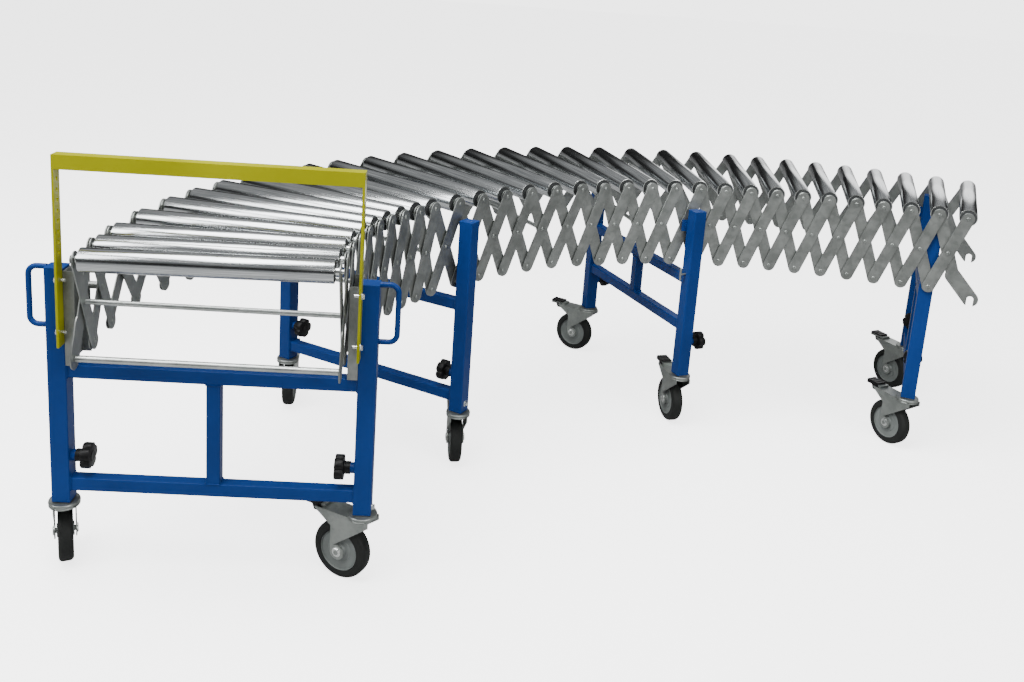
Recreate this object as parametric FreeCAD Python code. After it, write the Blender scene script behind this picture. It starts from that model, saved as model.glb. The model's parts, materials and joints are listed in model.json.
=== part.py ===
import FreeCAD, Part
import math
import os

V = FreeCAD.Vector

# Plan of the bed: one row for each stretch of even spacing, from the end with the stop
STRETCHES = (
    # steps, pitch on the left chain, pitch on the right chain
    (2, 96.0, 78.0),
    (2, 130.0, 70.0),
    (5, 110.0, 59.0),
    (1, 103.0, 90.0),
    (5, 128.0, 87.5),
    (7, 119.0, 76.0),
    (8, 99.5, 76.5),
)
FIRST_HEADING = 4.2

# Rollers and their axles
ROLLER_LENGTH = 500.0
ROLLER_DIAMETER = 50.0
ROLLER_WALL = 1.5
HUB_DEPTH = 12.0
AXLE_DIAMETER = 10.0
AXLE_FIT = 0.09
AXLE_HEIGHT = 755.0
COLLAR_DIAMETER = 18.0
COLLAR_GAP = 1.0

# Scissor links: flat bars in two layers on each side
LINK_LENGTH = 231.0
LINK_WIDTH = 35.0
LINK_THICKNESS = 3.0
LINK_OFFSET = 10.0
LAYER_GAP = 2.4
LINK_LEAN = 0.7
PIVOT_FIT = 0.3
RIVET_HEAD = 2.5
RIVET_DIAMETER = 14.0
RIVET_SEAT = 0.3

# Plates that couple one conveyor to the next
END_PLATE_WIDTH = 46.0
END_PLATE_SHARE = 0.3
CATCH_ROD_DIAMETER = 14.0
HOOK_BEND = 0.8
HOOK_OUT = 40.0
HOOK_DROP = 236.0
HOOK_WIDTH = 44.0
HOOK_NOTCH = 18.0

# Cross rods through the centre pivots, by the pair of links that carries them
TIE_ROD_DIAMETER = 12.0
TIE_ROD_PAIRS = (0, 3, 8, 13, 17, 22, 27)

# Leg frames: where each leg stands along its chain, and how far its centre is outside the chain
LEG_FRAMES = (
    # left leg: rollers passed, distance; right leg: the same; top, lower rail, upper rail, clamp; clamps face inwards
    (0.97, 64.0, 1.00, 46.0, 709.0, 217.0, 480.0, 280.0, True),
    (8.80, 28.0, 10.10, 25.0, 714.0, 217.0, 480.0, 280.0, True),
    (18.25, 28.0, 19.83, 25.0, 698.0, 330.0, 480.0, 280.0, False),
    (28.90, -34.5, 28.95, -33.5, 714.0, 217.0, 480.0, 280.0, True),
)
LEG_SIZE = 40.0
LEG_WALL = 2.5
LEG_CAP = 3.0
TUBE_CORNER = 3.0
LEG_BOTTOM = 176.0
RAIL_SIZE = 30.0

# Lugs that reach from a leg to the nearest centre pivot, and their studs
LUG_THICKNESS = 6.0
LUG_HEIGHT = 34.0
LUG_END = 14.0
LUG_GAP = 2.0
STUD_DIAMETER = 16.0
STUD_END = 2.0

# Inner tubes that slide down out of the legs, each pair with its two castors
INNER_FIT = 0.8
INNER_WALL = 3.0
INNER_DROP = 3.0
INNER_LENGTH = 380.0
INNER_PLUG = 12.0
LEG_TRAVEL = 250.0

# Swivel castors: direction in which each trails, left and right of each frame
CASTOR_TRAILS = ((115.0, 155.0), (95.0, 98.0), (150.0, 105.0), (118.0, 118.0))
WHEEL_DIAMETER = 138.0
WHEEL_WIDTH = 32.0
WHEEL_RIM = 104.0
WHEEL_RECESS = 4.0
HUB_DIAMETER = 30.0
HUB_WIDTH = 37.0
TREAD_CROWN = 5.0
TRAIL = 50.0
FORK_PLATE = 3.0
FORK_GAP = 5.0
FORK_END = 18.0
BEAK = 112.0
RACE_DIAMETER = 64.0
RACE_HEIGHT = 8.0
SWIVEL_GAP = 0.3
CROWN_HEIGHT = 4.0
KINGPIN_DIAMETER = 12.0
KINGPIN_HEAD = 20.0
KINGPIN_HEAD_HEIGHT = 4.0
WHEEL_AXLE_DIAMETER = 12.0
PEDAL_WIDTH = 34.0
PEDAL_START = 88.0
PEDAL_END = 144.0
PEDAL_THICKNESS = 6.0

# End stop
STOP_RISE = 175.0
STOP_HEIGHT = 409.0
STOP_DEPTH = 28.0
STOP_THICKNESS = 5.0
STOP_ANGLE = 30.0
STOP_STANDOFF = 1.0
STOP_HOLE = 9.0
STOP_HOLE_PITCH = 22.0
STOP_HOLES = 8

# Guide channels on the legs
GUIDE_WEB = 4.0
GUIDE_FRONT = 20.0
GUIDE_REAR = 66.0
GUIDE_FLANGE = 18.0
GUIDE_SHEET = 3.0
GUIDE_SEAT = 0.3
GUIDE_TOP = 704.0
GUIDE_PAIR = 1

# Knobs that clamp the inner tubes, and pull handles
KNOB_DIAMETER = 56.0
KNOB_LOBES = 5
KNOB_LOBE_DIAMETER = 18.0
KNOB_THICKNESS = 20.0
KNOB_STEM = 14.0
KNOB_STEM_DIAMETER = 28.0
BOSS_DIAMETER = 24.0
BOSS_LENGTH = 10.0
SCREW_DIAMETER = 10.0
SCREW_FIT = 0.2
CLAMP_GAP = 0.3
HANDLE_ROD = 12.0
HANDLE_REACH = 45.0
HANDLE_TOP = 712.0
HANDLE_BOTTOM = 572.0
HANDLE_BEND = 18.0

LINK_INNER = ROLLER_LENGTH / 2 + LINK_OFFSET + LINK_THICKNESS / 2
LINK_OUTER = LINK_INNER + LINK_THICKNESS + LAYER_GAP
CHAIN_FACE = LINK_OUTER + LINK_THICKNESS / 2
INNER_SIZE = LEG_SIZE - 2 * LEG_WALL - 2 * INNER_FIT
INNER_BOTTOM = LEG_BOTTOM - INNER_DROP
RIVET_FACE = CHAIN_FACE + RIVET_HEAD
STOP_TOP = AXLE_HEIGHT + ROLLER_DIAMETER / 2 + STOP_RISE
STOP_FOOT = STOP_TOP - STOP_HEIGHT


def across(heading):
    """Unit vector along a roller's axis, pointing to the right chain."""
    a = math.radians(heading)
    return V(math.cos(a), math.sin(a), 0)


def along(heading):
    """Unit vector along the bed, away from the end with the stop."""
    a = math.radians(heading)
    return V(-math.sin(a), math.cos(a), 0)


def bed_path():
    """Centre and heading of each roller."""
    width = 2 * RIVET_FACE
    centre = V(0, 0, 0)
    heading = FIRST_HEADING
    stations = [(centre, heading)]
    for steps, left, right in STRETCHES:
        turn = -math.degrees(2 * math.asin((left - right) / 2 / width))
        for _ in range(steps):
            centre = centre + along(heading + turn / 2) * ((left + right) / 2)
            heading += turn
            stations.append((centre, heading))
    return stations


PATH = bed_path()


def station(rollers_passed):
    """Centre and heading of the bed at a place between two rollers."""
    first = min(int(rollers_passed), len(PATH) - 2)
    share = rollers_passed - first
    (start, start_heading), (end, end_heading) = PATH[first], PATH[first + 1]
    return start + (end - start) * share, start_heading + (end_heading - start_heading) * share


def placed(shape, centre, heading):
    """A shape made with X across the bed and Y along it, set at its place in plan."""
    copy = shape.copy()
    spot = FreeCAD.Placement(centre, FreeCAD.Rotation(V(0, 0, 1), heading))
    copy.Placement = spot.multiply(shape.Placement)
    return copy


def box(low, high):
    """A box between two corners."""
    size = V(*high) - V(*low)
    return Part.makeBox(size.x, size.y, size.z, V(*low))


def rod(start, end, diameter):
    """A round bar between two points."""
    run = end - start
    return Part.makeCylinder(diameter / 2, run.Length, start, run)


def stadium(length, width, thickness):
    """A bar with round ends from the origin along X, centred on its thickness along Y."""
    r = width / 2
    low = V(0, -thickness / 2, 0)
    edges = [
        Part.LineSegment(V(0, 0, r), V(length, 0, r)).toShape(),
        Part.Arc(V(length, 0, r), V(length + r, 0, 0), V(length, 0, -r)).toShape(),
        Part.LineSegment(V(length, 0, -r), V(0, 0, -r)).toShape(),
        Part.Arc(V(0, 0, -r), V(-r, 0, 0), V(0, 0, r)).toShape(),
    ]
    face = Part.Face(Part.Wire(edges))
    face.translate(low)
    return face.extrude(V(0, thickness, 0))


def pivot(index, side, offset, drop=0.0):
    """Pivot point of a roller's column on one chain."""
    centre, heading = PATH[index]
    return centre + across(heading) * (side * offset) + V(0, 0, AXLE_HEIGHT - drop)


def chain_pitch(index, side):
    """Distance between two neighbouring columns of one chain."""
    return (pivot(index + 1, side, LINK_INNER) - pivot(index, side, LINK_INNER)).Length


def column_drop(index, side):
    """How far the lower pivot hangs below the upper one in a column."""
    last = len(PATH) - 2
    before = chain_pitch(max(index - 1, 0), side)
    after = chain_pitch(min(index, last), side)
    return math.sqrt(LINK_LENGTH ** 2 - ((before + after) / 2) ** 2)


def lay_link(shape, start, end):
    """Turn a bar made along X so that it runs from one pivot towards another in a vertical plane."""
    run = (end - start).normalize()
    flat = V(run.x, run.y, 0).normalize()
    normal = V(-flat.y, flat.x, 0)
    shape.Placement = FreeCAD.Placement(start, FreeCAD.Rotation(run, normal, run.cross(normal), "XYZ"))
    return shape


def pivot_hole(index, side):
    """The hole through both layers for the axle of one roller."""
    centre, heading = PATH[index]
    start = pivot(index, side, LINK_INNER - 2 * LINK_THICKNESS)
    end = pivot(index, side, LINK_OUTER + 2 * LINK_THICKNESS)
    return rod(start, end, AXLE_DIAMETER + 2 * PIVOT_FIT)


def link(top, bottom, side, offset):
    """One scissor link from its upper pivot on an axle to its lower pivot."""
    start = pivot(top, side, offset)
    end = pivot(bottom, side, offset, column_drop(bottom, side))
    bar = stadium((end - start).Length, LINK_WIDTH, LINK_THICKNESS)
    return lay_link(bar, start, end).cut(pivot_hole(top, side))


def outer_link(pair, side):
    """One link of the outer layer, with the rivet of its centre pivot."""
    bar = link(pair + 1, pair, side, LINK_OUTER)
    inner_face = LINK_INNER + LINK_THICKNESS / 2 + RIVET_SEAT
    if pair == 0:
        low, top = catch_point(side), pivot(1, side, LINK_OUTER)
        foot = stadium((top - low).Length * END_PLATE_SHARE, END_PLATE_WIDTH, LINK_THICKNESS)
        bar = bar.fuse(lay_link(foot, low, top)).removeSplitter()
    else:
        drop = column_drop(pair, side)
        lower = rod(pivot(pair, side, inner_face, drop), pivot(pair, side, RIVET_FACE, drop), RIVET_DIAMETER)
        bar = bar.fuse(lower)
    return bar.fuse(rod(centre_pivot(pair, side, inner_face), centre_pivot(pair, side, RIVET_FACE), RIVET_DIAMETER))


def catch_point(side):
    """Where the catch rod passes through the first outer link."""
    top = pivot(1, side, LINK_OUTER)
    low = pivot(0, side, LINK_OUTER, column_drop(0, side))
    run = low - top
    return top + run


def hook_tip(side):
    """Centre of a hook's notch, and the direction of its plate in plan."""
    last = len(PATH) - 1
    top = pivot(last - 1, side, LINK_INNER)
    end = pivot(last, side, LINK_INNER)
    flat = (end - top).normalize()
    return end + flat * HOOK_OUT - V(0, 0, HOOK_DROP), flat


def hook_plate(side):
    """The last inner link, carried on past its centre pivot to a hook that opens downwards."""
    last = len(PATH) - 1
    top = pivot(last - 1, side, LINK_INNER)
    end = pivot(last, side, LINK_INNER, column_drop(last, side))
    tip, flat = hook_tip(side)
    knee = top + (end - top) * HOOK_BEND
    upper = lay_link(stadium((knee - top).Length, LINK_WIDTH, LINK_THICKNESS), top, knee)
    lower = lay_link(stadium((tip - knee).Length, HOOK_WIDTH, LINK_THICKNESS), knee, tip)
    plate = upper.fuse(lower).removeSplitter()
    normal = V(-flat.y, flat.x, 0)
    notch = rod(tip - normal * LINK_WIDTH, tip + normal * LINK_WIDTH, HOOK_NOTCH)
    mouth = box((-HOOK_NOTCH / 2, -LINK_WIDTH, -HOOK_WIDTH), (HOOK_NOTCH / 2, LINK_WIDTH, 0))
    mouth.Placement = FreeCAD.Placement(tip, FreeCAD.Rotation(flat, normal, V(0, 0, 1), "XYZ"))
    return plate.cut(notch.fuse(mouth)).cut(pivot_hole(last - 1, side))


def roller():
    """Steel tube on two bearing hubs, bored for its axle."""
    half = ROLLER_LENGTH / 2
    tube = rod(V(-half, 0, 0), V(half, 0, 0), ROLLER_DIAMETER)
    bore = rod(V(-half, 0, 0), V(half, 0, 0), AXLE_DIAMETER + 2 * AXLE_FIT)
    inside = rod(V(HUB_DEPTH - half, 0, 0), V(half - HUB_DEPTH, 0, 0), ROLLER_DIAMETER - 2 * ROLLER_WALL)
    shape = tube.cut(bore.fuse(inside))
    shape.translate(V(0, 0, AXLE_HEIGHT))
    return shape


def axle():
    """Axle with its two spacing collars and its riveted heads."""
    end = CHAIN_FACE + LINK_LEAN
    shape = rod(V(-end, 0, 0), V(end, 0, 0), AXLE_DIAMETER)
    for side in (-1, 1):
        collar_start = V(side * (ROLLER_LENGTH / 2 + COLLAR_GAP), 0, 0)
        collar_end = V(side * (ROLLER_LENGTH / 2 + LINK_OFFSET - LINK_LEAN), 0, 0)
        shape = shape.fuse(rod(collar_start, collar_end, COLLAR_DIAMETER))
        shape = shape.fuse(rod(V(side * end, 0, 0), V(side * (end + RIVET_HEAD), 0, 0), RIVET_DIAMETER))
    shape.translate(V(0, 0, AXLE_HEIGHT))
    return shape


def centre_pivot(pair, side, offset):
    """Point where the two links of a pair cross, on one layer."""
    start = pivot(pair, side, offset)
    end = pivot(pair + 1, side, offset, column_drop(pair + 1, side))
    start_low = pivot(pair, side, offset, column_drop(pair, side))
    end_low = pivot(pair + 1, side, offset)
    rise = end_low.z - start_low.z
    fall = start.z - end.z
    share = (start.z - start_low.z) / (rise + fall)
    return start + (end - start) * share


def tie_rod(pair):
    """Cross rod between the inner faces of the two chains."""
    inner = ROLLER_LENGTH / 2 + LINK_OFFSET
    return rod(centre_pivot(pair, -1, inner - LINK_LEAN), centre_pivot(pair, 1, inner - LINK_LEAN), TIE_ROD_DIAMETER)


def catch_rod():
    """Rod at the first end, between the two extended outer links."""
    left, right = catch_point(-1), catch_point(1)
    run = (right - left).normalize()
    inset = LINK_THICKNESS / 2 + LINK_LEAN
    return rod(left + run * inset, right - run * inset, CATCH_ROD_DIAMETER)


def round_corners(shape, way):
    """Round the long edges of a square bar that runs one way."""
    long_edges = [edge for edge in shape.Edges if abs(edge.tangentAt(edge.FirstParameter).dot(way)) > 0.99]
    return shape.makeFillet(TUBE_CORNER, long_edges)


def square_tube(x, size, wall, bottom, top, cap):
    """Upright square tube, open at the bottom and closed at the top."""
    h = size / 2
    hollow = h - wall
    outer = round_corners(box((x - h, -h, bottom), (x + h, h, top)), V(0, 0, 1))
    return outer.cut(box((x - hollow, -hollow, bottom), (x + hollow, hollow, top - cap)))


def leg_place(passed, side, distance):
    """Centre of a leg in plan."""
    centre, heading = station(passed)
    return centre + across(heading) * (side * (RIVET_FACE + distance))


def frame_place(row):
    """Middle of a leg frame in plan, its heading, and half the distance between its legs."""
    left = leg_place(row[0], -1, row[1])
    right = leg_place(row[2], 1, row[3])
    run = right - left
    return (left + right) * 0.5, math.degrees(math.atan2(run.y, run.x)), run.Length / 2


def pull_handle(side, spread):
    """Bent rod on the outer face of a leg."""
    root = side * (spread + LEG_SIZE / 2)
    out = root + side * (HANDLE_REACH - HANDLE_ROD / 2)
    bend = HANDLE_BEND
    top, low = HANDLE_TOP - HANDLE_ROD / 2, HANDLE_BOTTOM + HANDLE_ROD / 2
    k = bend * (1 - math.sqrt(0.5))
    edges = [
        Part.LineSegment(V(root, 0, top), V(out - side * bend, 0, top)).toShape(),
        Part.Arc(V(out - side * bend, 0, top), V(out - side * k, 0, top - k), V(out, 0, top - bend)).toShape(),
        Part.LineSegment(V(out, 0, top - bend), V(out, 0, low + bend)).toShape(),
        Part.Arc(V(out, 0, low + bend), V(out - side * k, 0, low + k), V(out - side * bend, 0, low)).toShape(),
        Part.LineSegment(V(out - side * bend, 0, low), V(root, 0, low)).toShape(),
    ]
    circle = Part.Wire(Part.makeCircle(HANDLE_ROD / 2, V(root, 0, top), V(1, 0, 0)))
    return Part.Wire(edges).makePipeShell([circle], True, False)


def clamp_face(side, spread, clamp, inward):
    """Middle of the leg's face that carries the clamp, and the way out of it."""
    if inward:
        return V(side * (spread - LEG_SIZE / 2), 0, clamp), V(-side, 0, 0)
    return V(side * spread, LEG_SIZE / 2, clamp), V(0, 1, 0)


def leg_frame(spread, top, lower, upper, clamp, inward, handles):
    """Two outer tubes joined by two rails and a post, with the bosses for the clamp knobs."""
    h = RAIL_SIZE / 2
    inside = spread - LEG_SIZE / 2
    frame = None
    for side in (-1, 1):
        tube = square_tube(side * spread, LEG_SIZE, LEG_WALL, LEG_BOTTOM, top, LEG_CAP)
        face, out = clamp_face(side, spread, clamp, inward)
        boss = rod(face, face + out * BOSS_LENGTH, BOSS_DIAMETER)
        hole = rod(face - out * 2 * LEG_WALL, face + out * 2 * BOSS_LENGTH, SCREW_DIAMETER + 2 * SCREW_FIT)
        tube = tube.fuse(boss).cut(hole)
        if handles:
            tube = tube.fuse(pull_handle(side, spread))
        frame = tube if frame is None else frame.fuse(tube)
    for level in (lower, upper):
        rail = box((-inside, -h, level - h), (inside, h, level + h))
        frame = frame.fuse(round_corners(rail, V(1, 0, 0)))
    post = box((-h, -h, lower), (h, h, upper))
    frame = frame.fuse(round_corners(post, V(0, 0, 1)))
    return frame.removeSplitter()


def nearest_pair(passed):
    """Pair of links whose centre pivot is nearest to a place along the bed."""
    return min(int(passed), len(PATH) - 2)


def leg_stud(row, side):
    """Lug from a leg along its chain, with the stud to the nearest centre pivot."""
    passed, distance = (row[0], row[1]) if side < 0 else (row[2], row[3])
    pair = nearest_pair(passed)
    outward = side if distance > 0 else -side
    offset = RIVET_FACE + LINK_LEAN if distance > 0 else ROLLER_LENGTH / 2 + LINK_OFFSET - LINK_LEAN
    start = centre_pivot(pair, side, offset)
    turn = (PATH[pair][1] + PATH[pair + 1][1]) / 2
    middle, heading, spread = frame_place(row)
    run = middle + across(heading) * (side * spread) - start
    reach = run.dot(along(turn))
    near, far = sorted((outward * LUG_GAP, outward * (LUG_GAP + LUG_THICKNESS)))
    low, high = sorted((reach, -math.copysign(LUG_END, reach)))
    half = LUG_HEIGHT / 2
    lug = box((near, low, start.z - half), (far, high, start.z + half))
    lug = placed(lug, V(start.x, start.y, 0), turn)
    w = (LEG_SIZE - LEG_WALL) / 2
    cavity = box((side * spread - w, -w, start.z - 2 * half), (side * spread + w, w, start.z + 2 * half))
    stud_end = start + across(turn) * (outward * (LUG_GAP + LUG_THICKNESS + STUD_END))
    return lug.cut(placed(cavity, middle, heading)).fuse(rod(start, stud_end, STUD_DIAMETER))


def inner_leg(x):
    """Inner tube with its foot plug, the fixed bearing race and the kingpin of its castor."""
    tube = square_tube(x, INNER_SIZE, INNER_WALL, INNER_BOTTOM, INNER_BOTTOM + INNER_LENGTH, INNER_WALL)
    h = INNER_SIZE / 2
    plug = box((x - h, -h, INNER_BOTTOM), (x + h, h, INNER_BOTTOM + INNER_PLUG))
    race = rod(V(x, 0, INNER_BOTTOM - RACE_HEIGHT), V(x, 0, INNER_BOTTOM), RACE_DIAMETER)
    head_top = crown_bottom() - SWIVEL_GAP
    pin = rod(V(x, 0, head_top), V(x, 0, INNER_BOTTOM), KINGPIN_DIAMETER)
    head = rod(V(x, 0, head_top - KINGPIN_HEAD_HEIGHT), V(x, 0, head_top), KINGPIN_HEAD)
    return tube.fuse(plug).fuse(race).fuse(pin).fuse(head).removeSplitter()


def crown_top():
    """Upper face of a castor fork."""
    return INNER_BOTTOM - RACE_HEIGHT - SWIVEL_GAP


def crown_bottom():
    """Lower face of a castor fork's crown."""
    return crown_top() - CROWN_HEIGHT


def fork_side(y):
    """One side plate of a castor fork, from the crown and its beak down to the wheel axle."""
    top = crown_top()
    axle_height = WHEEL_DIAMETER / 2
    front = -RACE_DIAMETER / 2 + FORK_PLATE
    rear = TRAIL + FORK_END
    toe = V(front, y, crown_bottom() - FORK_END / 2)
    run = toe - V(TRAIL, y, axle_height)
    lift = math.atan2(run.z, run.x) - math.acos(FORK_END / run.Length)
    touch = V(TRAIL + FORK_END * math.cos(lift), y, axle_height + FORK_END * math.sin(lift))
    sole = V(TRAIL, y, axle_height - FORK_END)
    points = [V(rear, y, axle_height), V(rear, y, axle_height + 3.4 * FORK_END), V(BEAK, y, top - CROWN_HEIGHT)]
    points += [V(BEAK, y, top), V(front, y, top), toe, touch]
    edges = [Part.LineSegment(a, b).toShape() for a, b in zip(points, points[1:])]
    edges.append(Part.Arc(touch, sole, points[0]).toShape())
    return Part.Face(Part.Wire(edges)).extrude(V(0, FORK_PLATE, 0))


def castor_fork():
    """Swivelling fork about the kingpin at the origin, trailing along +X, with wheel axle and pedal."""
    top = crown_top()
    inside = WHEEL_WIDTH / 2 + FORK_GAP
    crown = rod(V(0, 0, crown_bottom()), V(0, 0, top), RACE_DIAMETER)
    bridge = box((0, -inside, crown_bottom()), (BEAK - FORK_END, inside, top))
    shape = crown.fuse(bridge)
    for y in (-inside - FORK_PLATE, inside):
        shape = shape.fuse(fork_side(y))
    reach = inside + 2 * FORK_PLATE
    axle_height = WHEEL_DIAMETER / 2
    shape = shape.fuse(rod(V(TRAIL, -reach, axle_height), V(TRAIL, reach, axle_height), WHEEL_AXLE_DIAMETER))
    h = PEDAL_WIDTH / 2
    pedal = box((PEDAL_START, -h, top), (PEDAL_END, h, top + PEDAL_THICKNESS))
    hole = rod(V(0, 0, 0), V(0, 0, LEG_BOTTOM), KINGPIN_DIAMETER + 2 * AXLE_FIT)
    return shape.fuse(pedal).cut(hole).removeSplitter()


def castor_wheel():
    """Tyre on a dished hub, turning about Y at its place behind the kingpin."""
    r = WHEEL_DIAMETER / 2
    w = WHEEL_WIDTH / 2
    rim = WHEEL_RIM / 2
    bore = WHEEL_AXLE_DIAMETER / 2 + AXLE_FIT
    side = [(w - TREAD_CROWN, r), (w, r - TREAD_CROWN), (w, rim), (w - WHEEL_RECESS, rim)]
    side += [(w - WHEEL_RECESS, HUB_DIAMETER / 2), (HUB_WIDTH / 2, HUB_DIAMETER / 2), (HUB_WIDTH / 2, bore)]
    outline = [V(0, y, z) for y, z in side] + [V(0, -y, z) for y, z in reversed(side)]
    wheel = Part.Face(Part.makePolygon(outline + outline[:1])).revolve(V(0, 0, 0), V(0, 1, 0), 360)
    wheel.translate(V(TRAIL, 0, r))
    return wheel


def guide_channel(side, spread, upper):
    """Channel on the inner face of a leg above its upper rail, its flanges towards the chain."""
    bottom = upper + RAIL_SIZE / 2 + GUIDE_SEAT
    web_out = side * (spread - LEG_SIZE / 2)
    web_in = web_out - side * GUIDE_WEB
    flange = web_in - side * GUIDE_FLANGE

    def slab(x_a, x_b, y_a, y_b):
        return box((min(x_a, x_b), y_a, bottom), (max(x_a, x_b), y_b, GUIDE_TOP))

    shape = slab(web_in, web_out, -GUIDE_FRONT, GUIDE_REAR)
    shape = shape.fuse(slab(flange, web_in, -GUIDE_FRONT, GUIDE_SHEET - GUIDE_FRONT))
    shape = shape.fuse(slab(flange, web_in, GUIDE_REAR - GUIDE_SHEET, GUIDE_REAR))
    return shape.removeSplitter()


def guide_stud(middle, heading, spread, pair, side):
    """Stud from the channel's web to the centre pivot of the pair of links."""
    start = centre_pivot(pair, side, RIVET_FACE + LINK_LEAN)
    normal = across(heading) * side
    web = spread - LEG_SIZE / 2 - GUIDE_WEB
    length = web - (start - middle).dot(normal)
    return rod(start, start + normal * length, STUD_DIAMETER)


def clamp_knob(side, spread, clamp, inward):
    """Lobed knob with a round stem, on a screw that reaches the inner tube."""
    face, out = clamp_face(side, spread, clamp, inward)
    boss_end = face + out * BOSS_LENGTH
    seat = boss_end + out * KNOB_STEM
    end = seat + out * KNOB_THICKNESS
    beside = out.cross(V(0, 0, 1))
    radius = (KNOB_DIAMETER - KNOB_LOBE_DIAMETER) / 2
    hub = rod(seat, end, 2 * radius)
    for n in range(KNOB_LOBES):
        a = 2 * math.pi * n / KNOB_LOBES
        shift = (beside * math.cos(a) + V(0, 0, 1) * math.sin(a)) * radius
        hub = hub.fuse(rod(seat + shift, end + shift, KNOB_LOBE_DIAMETER))
    tip = face - out * (LEG_SIZE / 2 - INNER_SIZE / 2 - CLAMP_GAP)
    stem = rod(boss_end, seat, KNOB_STEM_DIAMETER)
    screw = rod(seat + out * (KNOB_THICKNESS / 2), tip, SCREW_DIAMETER)
    return hub.fuse(stem).fuse(screw).removeSplitter()


def end_stop(spread):
    """Angle across the bed on two flat uprights, in front of the first leg frame."""
    front = -LEG_SIZE / 2 - STOP_STANDOFF - STOP_DEPTH
    back = front + STOP_DEPTH
    inside = spread - LEG_SIZE / 2
    outer = inside + STOP_THICKNESS
    t = STOP_THICKNESS
    face = box((-outer, front, STOP_TOP - STOP_ANGLE), (outer, front + t, STOP_TOP))
    shelf = box((-outer, front, STOP_TOP - t), (outer, front + STOP_ANGLE, STOP_TOP))
    shape = face.fuse(shelf)
    for side in (-1, 1):
        low, high = sorted((side * inside, side * outer))
        upright = box((low, front, STOP_FOOT), (high, back, STOP_TOP))
        middle = (front + back) / 2
        for n in range(STOP_HOLES):
            spot = V(low, middle, STOP_TOP - STOP_ANGLE - STOP_HOLE_PITCH * (n + 1))
            upright = upright.cut(rod(spot, spot + V(high - low, 0, 0), STOP_HOLE))
        shape = shape.fuse(upright)
    return shape.removeSplitter()


def build():
    """All pieces by name, each as a list of solids, in the bed's own plan."""
    pieces = {}
    count = len(PATH)
    tube = roller()
    for n, (centre, heading) in enumerate(PATH, start=1):
        pieces[f"roller_{n:02d}"] = [placed(tube, centre, heading)]
    shaft = axle()
    pieces["axles"] = [placed(shaft, centre, heading) for centre, heading in PATH]
    sides = (-1, 1)
    pairs = range(count - 1)
    pieces["outer_links"] = [outer_link(n, side) for side in sides for n in pairs]
    pieces["inner_links"] = [link(n, n + 1, side, LINK_INNER) for side in sides for n in pairs[:-1]]
    pieces["hook_plates"] = [hook_plate(side) for side in sides]
    pieces["cross_rods"] = [tie_rod(pair) for pair in TIE_ROD_PAIRS] + [catch_rod()]
    pieces["leg_frames"] = []
    pieces["guide_channels"] = []
    pieces["clamp_knobs"] = []
    for k, row in enumerate(LEG_FRAMES, start=1):
        top, lower, upper, clamp, inward = row[4:]
        middle, heading, spread = frame_place(row)
        frame = placed(leg_frame(spread, top, lower, upper, clamp, inward, k == 1), middle, heading)
        pieces[f"inner_legs_{k}"] = [placed(inner_leg(side * spread), middle, heading) for side in sides]
        for side, trail, name in zip(sides, CASTOR_TRAILS[k - 1], ("left", "right")):
            pieces["clamp_knobs"].append(placed(clamp_knob(side, spread, clamp, inward), middle, heading))
            if k == 1:
                channel = placed(guide_channel(side, spread, upper), middle, heading)
                stud = guide_stud(middle, heading, spread, GUIDE_PAIR, side)
                pieces["guide_channels"].append(channel.fuse(stud).removeSplitter())
            else:
                frame = frame.fuse(leg_stud(row, side))
            leg = middle + across(heading) * (side * spread)
            pieces[f"castor_fork_{k}_{name}"] = [placed(castor_fork(), leg, trail)]
            pieces[f"castor_wheel_{k}_{name}"] = [placed(castor_wheel(), leg, trail)]
        pieces["leg_frames"].append(frame.removeSplitter())
    middle, heading, spread = frame_place(LEG_FRAMES[0])
    pieces["end_stop"] = [placed(end_stop(spread), middle, heading)]
    return pieces


def plan_shift(pieces):
    """Shift that sets the middle of the whole plan on the origin."""
    whole = FreeCAD.BoundBox()
    for solids in pieces.values():
        for solid in solids:
            whole.add(solid.optimalBoundingBox(False))
    return V(-whole.Center.x, -whole.Center.y, 0)


PIECES = build()
SHIFT = plan_shift(PIECES)

os.makedirs("parts", exist_ok=True)
for name, solids in PIECES.items():
    shape = Part.makeCompound(solids) if len(solids) > 1 else solids[0]
    shape.translate(SHIFT)
    shape.exportStep(f"parts/{name}.step")
print(len(PIECES), "pieces, shift", [round(v, 2) for v in SHIFT])
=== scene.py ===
"""Studio scene of the expandable roller conveyor: its finishes, modelled detail, floor, light and camera."""

import json
import logging
import math
from dataclasses import dataclass, field
from enum import Enum
from typing import Callable, Iterable

import bmesh
import bpy
from mathutils import Matrix, Vector


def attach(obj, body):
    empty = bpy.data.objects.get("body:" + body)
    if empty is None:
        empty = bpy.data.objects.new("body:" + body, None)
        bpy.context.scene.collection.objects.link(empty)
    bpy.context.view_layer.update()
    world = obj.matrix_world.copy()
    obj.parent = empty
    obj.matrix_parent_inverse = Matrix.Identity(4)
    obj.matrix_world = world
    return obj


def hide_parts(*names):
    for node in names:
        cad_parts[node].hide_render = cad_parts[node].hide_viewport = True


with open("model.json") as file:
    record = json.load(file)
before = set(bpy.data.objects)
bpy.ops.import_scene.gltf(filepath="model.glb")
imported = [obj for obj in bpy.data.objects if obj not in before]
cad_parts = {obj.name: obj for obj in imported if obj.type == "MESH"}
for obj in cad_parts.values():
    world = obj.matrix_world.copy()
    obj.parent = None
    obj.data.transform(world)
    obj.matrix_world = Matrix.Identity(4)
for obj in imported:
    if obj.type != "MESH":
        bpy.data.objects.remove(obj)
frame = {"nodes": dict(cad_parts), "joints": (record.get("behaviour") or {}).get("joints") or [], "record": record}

LOG = logging.getLogger("roller conveyor")
Colour = tuple[float, float, float]
Piece = bpy.types.Object
Material = bpy.types.Material
Node = bpy.types.Node
Socket = bpy.types.NodeSocket
Feed = dict[str | int, object]
Test = Callable[[Vector, Vector], bool]

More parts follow.
